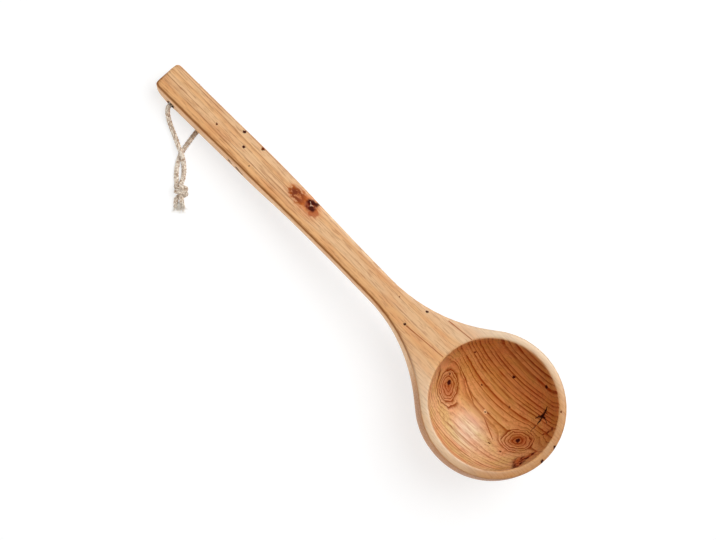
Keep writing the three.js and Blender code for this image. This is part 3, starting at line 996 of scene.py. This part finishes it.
@dataclass
class Ladle:
    """The carved wood: bowl, neck and handle in one piece.

    Attributes:
        node: The faceted solid that the piece stands for.
        body: The body that it rides on.
        skin: Spacing of the fine mesh.
        weld: Distance within which the solid's corners are one.
        arris: Depth below the flat top where the hard sanding stops, in millimetres.
        hole_clear: Radius round the cord's hole that the hard sanding leaves alone, in millimetres.
        smoothing: How far one pass of smoothing goes.
        hard_passes: How often the rounds are smoothed.
        soft_passes: How often the whole is smoothed.
    """

    node: str = "ladle_body"
    body: str = "ladle"
    skin: float = 0.95 * MM
    weld: float = 0.001 * MM
    arris: float = 3.2
    hole_clear: float = 5.0
    smoothing: float = 0.5
    hard_passes: int = 40
    soft_passes: int = 3

    def carve(self) -> Piece:
        """Makes a fine closed skin from a merged copy of the solid.

        Returns:
            The wood.
        """
        select_only(frame["nodes"][self.node])
        bpy.ops.object.duplicate()
        wood = bpy.context.object
        wood.name = "ladle_wood"
        wood.parent = None
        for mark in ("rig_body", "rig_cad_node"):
            del wood[mark]
        bpy.ops.object.mode_set(mode="EDIT")
        bpy.ops.mesh.select_all(action="SELECT")
        bpy.ops.mesh.remove_doubles(threshold=self.weld)
        bpy.ops.object.mode_set(mode="OBJECT")
        remesh = wood.modifiers.new("fine skin", "REMESH")
        remesh.mode = "VOXEL"
        remesh.voxel_size = self.skin
        select_only(wood)
        bpy.ops.object.modifier_apply(modifier=remesh.name)
        return wood

    def _under_the_edges(self, place: Vector) -> bool:
        """Says whether a place is on the sides, the underside or the hollow, clear of edges and hole."""
        from_hole = math.hypot(place.x - HOLE[0], place.z - HOLE[2])
        return place.z < -self.arris and from_hole > self.hole_clear

    def _smooth(self, wood: Piece, passes: int, chosen: Callable[[Vector], bool]) -> None:
        """Smooths the chosen places of the wood.

        Args:
            wood: The wood.
            passes: How many times.
            chosen: Says whether a place in the ladle's frame is smoothed.
        """
        select_only(wood)
        bpy.ops.object.mode_set(mode="EDIT")
        bpy.ops.mesh.select_mode(type="VERT")
        bpy.ops.mesh.select_all(action="DESELECT")
        bpy.ops.object.mode_set(mode="OBJECT")
        for vertex in wood.data.vertices:
            vertex.select = chosen(ladle_place(vertex.co))
        bpy.ops.object.mode_set(mode="EDIT")
        bpy.ops.mesh.vertices_smooth(factor=self.smoothing, repeat=passes)
        bpy.ops.object.mode_set(mode="OBJECT")

    def sand(self, wood: Piece) -> None:
        """Takes the facets off: hard on the rounds, lightly over the edges.

        Args:
            wood: The wood.
        """
        self._smooth(wood, self.hard_passes, self._under_the_edges)
        self._smooth(wood, self.soft_passes, lambda place: True)
        select_only(wood)
        bpy.ops.object.shade_smooth()

    def build(self, finish: WoodFinish) -> Piece:
        """Makes the wood and dresses it.

        Args:
            finish: The wood's finish.

        Returns:
            The wood, riding on its body.
        """
        wood = self.carve()
        self.sand(wood)
        finish_material(wood, finish.material())
        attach(wood, self.body)
        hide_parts(self.node)
        return wood


class Half(Enum):
    """The two halves of the cord, from the hole to a tail each."""

    NEAR = "near"
    FAR = "far"


def smooth_line(points: Sequence[Vector], per_span: int) -> list[list[Vector]]:
    """Draws a smooth curve through points, with knots spaced by the root of the distance.

    Args:
        points: The points to pass through.
        per_span: Points drawn from each point to the next.

    Returns:
        One list of points for each span, each with its first point and without its last.
    """
    first = points[0] * 2 - points[1]
    last = points[-1] * 2 - points[-2]
    padded = [first, *points, last]
    spans = []
    for before, start, end, after in zip(padded, padded[1:], padded[2:], padded[3:]):
        gap_before = math.sqrt((start - before).length)
        gap = math.sqrt((end - start).length)
        gap_after = math.sqrt((after - end).length)
        leave = (start - before) / gap_before - (end - before) / (gap_before + gap) + (end - start) / gap
        arrive = (end - start) / gap - (after - start) / (gap + gap_after) + (after - end) / gap_after
        leave *= gap
        arrive *= gap
        span = []
        for step in range(per_span):
            t = step / per_span
            bend = (start - end) * 2 + leave + arrive
            sweep = (end - start) * 3 - leave * 2 - arrive
            span.append(start + leave * t + sweep * t**2 + bend * t**3)
        spans.append(span)
    return spans


def run_lengths(points: Sequence[Vector]) -> list[float]:
    """Gives a line's length up to each of its points."""
    return [0.0, *accumulate((end - start).length for start, end in zip(points, points[1:]))]


def even_line(points: Sequence[Vector], step: float) -> list[Vector]:
    """Redraws a line with points an even distance apart.

    Args:
        points: The line.
        step: About how far apart the new points are.

    Returns:
        The new points, from the first end to the last.
    """
    reached = run_lengths(points)
    count = max(1, round(reached[-1] / step))
    even = []
    span = 0
    for index in range(count + 1):
        goal = reached[-1] * index / count
        while span < len(points) - 2 and reached[span + 1] < goal:
            span += 1
        share = (goal - reached[span]) / (reached[span + 1] - reached[span])
        even.append(points[span].lerp(points[span + 1], share))
    return even


def side_ways(points: Sequence[Vector]) -> list[tuple[Vector, Vector]]:
    """Gives two directions square to a line at each of its points, carried along without twist.

    Args:
        points: The line.

    Returns:
        Two unit vectors for each point.
    """
    ways = []
    side = Vector((0.0, 0.0, 1.0))
    for index in range(len(points)):
        ahead = points[min(index + 1, len(points) - 1)] - points[max(index - 1, 0)]
        ahead.normalize()
        side = (side - ahead * side.dot(ahead)).normalized()
        ways.append((side.copy(), ahead.cross(side)))
    return ways


def off_line(point: Vector, ways: tuple[Vector, Vector], angle: float, distance: float) -> Vector:
    """Gives the place at an angle and a distance from a line's point, by the two ways square to it."""
    side, up = ways
    return point + side * (distance * math.cos(angle)) + up * (distance * math.sin(angle))


@dataclass
class Tubes:
    """Closed tubes gathered for one mesh, with their length and turn kept as a UV map.

    Attributes:
        sides: Faces round a tube.
        floor: Least height of a tube's corners.
    """

    sides: int
    floor: float = 0.02 * MM

    def __post_init__(self) -> None:
        """Starts with no tube."""
        self.vertices: list[Vector] = []
        self.faces: list[tuple[int, ...]] = []
        self.places: list[list[Pair]] = []

    def add(self, points: Sequence[Vector], radii: Sequence[float]) -> None:
        """Adds a tube along a line.

        Args:
            points: The line.
            radii: The tube's radius at each point.
        """
        base = len(self.vertices)
        lengths = run_lengths(points)
        for point, radius, ways in zip(points, radii, side_ways(points)):
            for turn in range(self.sides):
                corner = off_line(point, ways, math.tau * turn / self.sides, radius)
                corner.z = max(corner.z, self.floor)
                self.vertices.append(corner)
        for ring, (bottom, top) in enumerate(zip(lengths, lengths[1:])):
            low = base + ring * self.sides
            high = low + self.sides
            for turn in range(self.sides):
                following = (turn + 1) % self.sides
                self.faces.append((low + turn, low + following, high + following, high + turn))
                left = turn / self.sides
                right = (turn + 1) / self.sides
                self.places.append([(left, bottom), (right, bottom), (right, top), (left, top)])
        first = range(base + self.sides - 1, base - 1, -1)
        last = range(len(self.vertices) - self.sides, len(self.vertices))
        for end, length in ((first, 0.0), (last, lengths[-1])):
            self.faces.append(tuple(end))
            self.places.append([(0.5, length)] * self.sides)

    def piece(self, name: str) -> Piece:
        """Makes the mesh.

        Args:
            name: The piece's name.

        Returns:
            The piece, at the origin.
        """
        mesh = bpy.data.meshes.new(name)
        mesh.from_pydata(self.vertices, [], self.faces)
        uv = mesh.uv_layers.new(name="UVMap")
        flat = [number for face in self.places for place in face for number in place]
        uv.data.foreach_set("uv", flat)
        made = bpy.data.objects.new(name, mesh)
        bpy.context.scene.collection.objects.link(made)
        select_only(made)
        bpy.ops.object.shade_smooth()
        return made


@dataclass
class HangingCord:
    """The cotton cord: two halves from the hole, one wound round the other in the knot, with frayed ends.

    Sizes are in millimetres, apart from the halves' lengths, and routes start from the bench under
    the middle of the hole.
    """

    node: str = "hanging_cord"
    body: str = "hanging_loop"
    diameter: float = 3.0
    near_length: float = 0.095
    far_length: float = 0.16
    floor_gap: float = 0.1
    winding_gap: float = 0.6
    knot_turns: float = 1.85
    knot_first_angle: float = 215.0
    knot_place: Pair = (52.6, -50.3)
    knot_heading: float = -43.7
    points_per_turn: int = 12
    seat: float = 7.093
    mouth: float = 12.35
    plies: int = 3
    ply_sides: int = 8
    ply_radius: float = 0.98
    ply_offset: float = 0.98
    lay_length: float = 7.5
    step: float = 0.45
    span_points: int = 12
    tail_opening: float = 0.25
    tail_thinning: float = 0.7
    fibres: int = 140
    fibre_sides: int = 4
    fibre_start: Pair = (0.2, 1.0)
    fibre_spread: Pair = (0.1, 0.75)
    fibre_length: Pair = (1.6, 6.6)
    fibre_radius: float = 0.1
    fibre_taper: float = 0.6
    fibre_lift: float = 0.15
    fibre_bends: int = 7
    stray_fibres: int = 3
    stray_length: float = 8.0
    curl: Triple = (0.14, 0.14, 0.084)
    sag: float = 0.06
    fray_run: float = 6.5
    mingling: float = 1.4
    seed: int = 11

    def __post_init__(self) -> None:
        """Works out the sizes that follow."""
        self.low = self.diameter / 2 + self.floor_gap
        self.winding = self.diameter + self.winding_gap
        self.knot_height = self.low + self.winding
        joint = frame["joints"][0]["pos_m"]
        self.hole = Vector((joint[0], joint[1], 0.0))

    def _at_knot(self, along: float, left: float, up: float) -> Triple:
        """Gives a place by the knot.

        Args:
            along: Distance along the knot from its middle, towards the tails.
            left: Distance to its left.
            up: Height over its middle line.

        Returns:
            The place on the route.
        """
        heading = math.radians(self.knot_heading)
        ahead = (math.cos(heading), math.sin(heading))
        x = self.knot_place[0] + along * ahead[0] - left * ahead[1]
        y = self.knot_place[1] + along * ahead[1] + left * ahead[0]
        return (x, y, self.knot_height + up)

    def _near_route(self) -> list[Triple]:
        """Gives the near half's points, from its tail to the hole's middle."""
        on_bench = -self.winding
        return [
            self._at_knot(12.4, 2.4, on_bench),
            self._at_knot(8.9, 1.2, -2.0),
            self._at_knot(5.6, 0.3, -0.3),
            self._at_knot(2.5, 0.0, 0.0),
            self._at_knot(-2.5, 0.0, 0.0),
            self._at_knot(-5.4, 0.3, -0.3),
            (46.2, -41.0, 2.7),
            (41.4, -35.8, 2.3),
            (35.4, -32.0, 4.5),
            (31.4, -30.2, 5.3),
            (27.4, -28.4, 4.7),
            (22.2, -25.6, 3.2),
            (14.7, -22.4, 2.6),
            (7.9, -self.mouth - 7.3, 3.8),
            (3.7, -self.mouth - 5.0, 5.2),
            (0.9, -self.mouth - 2.7, 6.5),
            (0.0, -self.mouth, self.seat),
            (0.0, 0.0, self.seat),
        ]

    def _far_route(self) -> list[Triple]:
        """Gives the far half's points, from just past the hole's middle to its tail."""
        on_bench = -self.winding
        points = [
            (0.0, self.mouth - 1.4, self.seat),
            (0.5, self.mouth + 0.7, 7.0),
            (1.9, self.mouth + 1.9, 6.6),
            (4.6, self.mouth + 2.3, 5.9),
            (9.5, self.mouth + 2.5, 4.6),
            (14.5, self.mouth + 2.6, 3.3),
            (19.3, self.mouth + 2.5, 2.35),
            (22.6, self.mouth + 0.8, 1.75),
            (25.0, 8.6, self.low),
            (26.4, 3.2, self.low),
            (27.2, -4.0, self.low),
            (28.0, -11.0, self.low),
            (29.3, -18.0, self.low),
            (31.0, -25.6, self.low),
            (33.0, -32.0, self.low),
            (36.8, -38.2, self.low),
            (41.4, -43.6, self.low),
            self._at_knot(-5.8, -2.6, on_bench + 0.3),
        ]
        steps = round(self.knot_turns * self.points_per_turn)
        for index in range(steps + 1):
            turned = self.knot_turns * index / steps
            angle = math.radians(self.knot_first_angle - 360 * turned)
            along = self.winding * (turned - self.knot_turns / 2)
            aside = self.winding * math.cos(angle)
            points.append(self._at_knot(along, aside, self.winding * math.sin(angle)))
        points.append(self._at_knot(5.2, -2.6, on_bench))
        points.append(self._at_knot(8.5, -3.3, on_bench))
        points.append(self._at_knot(12.5, -3.4, on_bench))
        return points

    def routes(self) -> dict[Half, list[Vector]]:
        """Draws both halves as one smooth cord, split at the hole's middle.

        Returns:
            Each half's line from the hole to its tail, in metres.
        """
        near = self._near_route()
        far = self._far_route()
        points = [self.hole + Vector(point) * MM for point in (*near, *far)]
        spans = smooth_line(points, self.span_points)
        middle = len(near) - 1
        near_line = [point for span in spans[:middle] for point in span] + [points[middle]]
        far_line = [point for span in spans[middle:] for point in span] + [points[-1]]
        step = self.step * MM
        return {
            Half.NEAR: even_line(near_line[::-1], step),
            Half.FAR: even_line(far_line, step),
        }

    def _twist(self, name: str, line: Sequence[Vector]) -> Piece:
        """Lays plies round a line.

        Args:
            name: The piece's name.
            line: The cord's middle line.

        Returns:
            The twisted cord.
        """
        tubes = Tubes(self.ply_sides)
        lengths = run_lengths(line)
        for ply in range(self.plies):
            points = []
            radii = []
            for point, ways, along in zip(line, side_ways(line), lengths):
                angle = math.tau * (ply / self.plies + along / (self.lay_length * MM))
                loosened = max(0.0, 1 - (lengths[-1] - along) / (self.fray_run * MM))
                offset = self.ply_offset * (1 + self.tail_opening * loosened) * MM
                points.append(off_line(point, ways, angle, offset))
                radii.append(self.ply_radius * (1 - self.tail_thinning * loosened) * MM)
            tubes.add(points, radii)
        return tubes.piece(name)

    def _fray(self, name: str, line: Sequence[Vector], other_tail: Vector, draw: random.Random) -> Piece:
        """Spreads loose fibres from a cord's tail.

        Args:
            name: The piece's name.
            line: The cord's middle line, ending at the tail.
            other_tail: The end of the other tail, which the fibres mingle with.
            draw: The source of chance.

        Returns:
            The fibres.
        """
        tubes = Tubes(self.fibre_sides)
        ways = side_ways(line)
        run = round(self.fray_run / self.step)
        inwards = (other_tail - line[-1]).normalized()
        shares = [bend / self.fibre_bends for bend in range(self.fibre_bends)]
        radii = [self.fibre_radius * (1 - self.fibre_taper * share) * MM for share in shares]
        for index in range(self.fibres):
            root = len(line) - 1 - draw.randrange(run)
            ahead = (line[root] - line[root - 2]).normalized()
            angle = draw.uniform(0.0, math.tau)
            spread = draw.uniform(*self.fibre_spread)
            out = off_line(Vector(), ways[root], angle, 1.0)
            point = line[root] + out * (draw.uniform(*self.fibre_start) * MM)
            heading = (ahead + out * spread + inwards * draw.uniform(0.0, self.mingling)).normalized()
            length = draw.uniform(*self.fibre_length) * MM
            if index < self.stray_fibres:
                length = self.stray_length * MM
            pull = Vector([draw.gauss(0, width) for width in self.curl])
            pull.z -= self.sag
            points = []
            for _bend in radii:
                points.append(point.copy())
                heading = (heading + pull).normalized()
                point = point + heading * (length / self.fibre_bends)
                point.z = max(point.z, self.fibre_lift * MM)
            tubes.add(points, radii)
        return tubes.piece(name)

    def build(self, finish: CottonFinish, loose: CottonFinish) -> list[Piece]:
        """Args:
            finish: The twisted cotton's finish.
            loose: The frayed fibres' finish.

        Returns:
            The pieces, riding on the loop's body.
        """
        twisted_cotton = finish.material()
        loose_cotton = loose.material()
        draw = random.Random(self.seed)
        made = []
        other = {Half.NEAR: Half.FAR, Half.FAR: Half.NEAR}
        routes = self.routes()
        for half, line in routes.items():
            log.info("cord %s half is %.1f mm long", half.value, run_lengths(line)[-1] / MM)
            cord = self._twist(f"cord_{half.value}_half", line)
            fray = self._fray(f"fray_{half.value}_tail", line, routes[other[half]][-1], draw)
            finish_material(cord, twisted_cotton)
            finish_material(fray, loose_cotton)
            for piece in (cord, fray):
                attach(piece, self.body)
                made.append(piece)
            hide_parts(self.node)
        return made


@dataclass(frozen=True)
class Lamp:
    """An area lamp that isn't seen itself.

    Attributes:
        name: Its name.
        place: Where it hangs.
        size: Its width and height.
        power: Its power in watts.
    """

    name: str
    place: Triple
    size: Pair
    power: float

    def hang(self) -> Piece:
        """Hangs the lamp, facing the ladle.

        Returns:
            The lamp.
        """
        bpy.ops.object.light_add(type="AREA", location=self.place)
        made = bpy.context.object
        made.name = self.name
        made.data.shape = "RECTANGLE"
        made.data.size, made.data.size_y = self.size
        made.data.energy = self.power
        made.rotation_euler = Vector(self.place).to_track_quat("Z", "Y").to_euler()
        made.visible_camera = False
        return made


@dataclass
class Studio:
    """The camera at the photograph's angle, a white floor and soft light.

    Attributes:
        stand: Where the camera stands.
        azimuth: Degrees that it is turned from looking along +Y.
        elevation: Degrees that it looks down.
        roll: Degrees that it is turned about its own line of sight.
        lens: Its focal length in millimetres.
        sensor: Its sensor's width in millimetres.
        floor_size: Side of the floor.
        floor_drop: How far the floor lies under the ladle.
        softbox: The main lamp.
        sheen_lamp: The lamp that only shines on gloss.
        low_strip: The lamp that lights the near sides from low down, level.
        sky: Strength of the room's own light.
    """

    stand: Triple = (-0.079956, -0.445002, 1.432001)
    azimuth: float = -10.7003
    elevation: float = 72.06
    roll: float = 57.4138
    lens: float = 100.0
    sensor: float = 36.0
    floor_size: float = 12.0
    floor_drop: float = 0.02 * MM
    softbox: Lamp = Lamp("softbox", (0.14, 0.66, 1.54), (1.6, 1.6), 24.5)
    sheen_lamp: Lamp = Lamp("sheen_lamp", (0.14, 1.2, 1.16), (1.0, 1.0), 140.0)
    low_strip: Lamp = Lamp("low_strip", (0.0, -1.2, 0.035), (1.6, 0.07), 6.5)
    sky: float = 0.3

    def camera(self) -> Piece:
        """Stands the camera.

        Returns:
            The scene's camera.
        """
        bpy.ops.object.camera_add()
        made = bpy.context.object
        made.name = "photo_camera"
        made.data.lens = self.lens
        made.data.sensor_width = self.sensor
        turn = Matrix.Rotation(math.radians(self.azimuth), 4, "Z")
        tip = Matrix.Rotation(math.radians(90 - self.elevation), 4, "X")
        roll = Matrix.Rotation(math.radians(self.roll), 4, "Z")
        made.matrix_world = Matrix.Translation(self.stand) @ turn @ tip @ roll
        bpy.context.scene.camera = made
        return made

    def floor(self, finish: FloorFinish) -> Piece:
        """Lays the floor.

        Args:
            finish: The floor's finish.

        Returns:
            The floor.
        """
        bpy.ops.mesh.primitive_plane_add(size=self.floor_size, location=(0.0, 0.0, -self.floor_drop))
        made = bpy.context.object
        made.name = "studio_floor"
        finish_material(made, finish.material())
        return made

    def light(self) -> None:
        """Hangs the lamps and lights the room faintly, white where it is seen."""
        self.softbox.hang()
        self.sheen_lamp.hang().visible_diffuse = False
        self.low_strip.hang().rotation_euler = (math.radians(90), 0.0, 0.0)

        world = bpy.data.worlds.new("studio_room")
        bpy.context.scene.world = world
        graph = Graph(world, "OutputWorld")
        seen = graph.node("LightPath").outputs["Is Camera Ray"]
        room = graph.node("Background", {"Color": WHITE, "Strength": self.sky}).outputs[0]
        white = graph.node("Background", {"Color": WHITE, "Strength": 1.0}).outputs[0]
        graph.show(graph.mix_shaders(seen, room, white))

    def build(self) -> None:
        """Sets up the camera, the floor, the light and plain colour."""
        self.camera()
        self.floor(FloorFinish())
        self.light()
        bpy.context.scene.view_settings.view_transform = "Standard"


def clear_start_scene() -> None:
    """Removes what a new scene starts with, apart from the loaded model."""
    kept = {*frame["bodies"].values(), *frame["nodes"].values()}
    for leftover in [item for item in bpy.data.objects if item not in kept]:
        bpy.data.objects.remove(leftover)


def report(pieces: Iterable[Piece]) -> None:
    """Logs each piece with its face count."""
    for piece in pieces:
        log.info("%s: %d faces", piece.name, len(piece.data.polygons))


def main() -> None:
    """Builds the studio, the cord and the ladle, and reports each piece."""
    logging.basicConfig(level=logging.INFO, format="%(name)s: %(message)s")
    clear_start_scene()
    Studio().build()
    loose = CottonFinish(
        name="loose_cotton", lit=colour(255, 246, 230), shaded=colour(250, 234, 212), sheen=1.0
    )
    report(HangingCord().build(CottonFinish(), loose))
    report([Ladle().build(WoodFinish())])


if __name__ == "__main__":
    main()
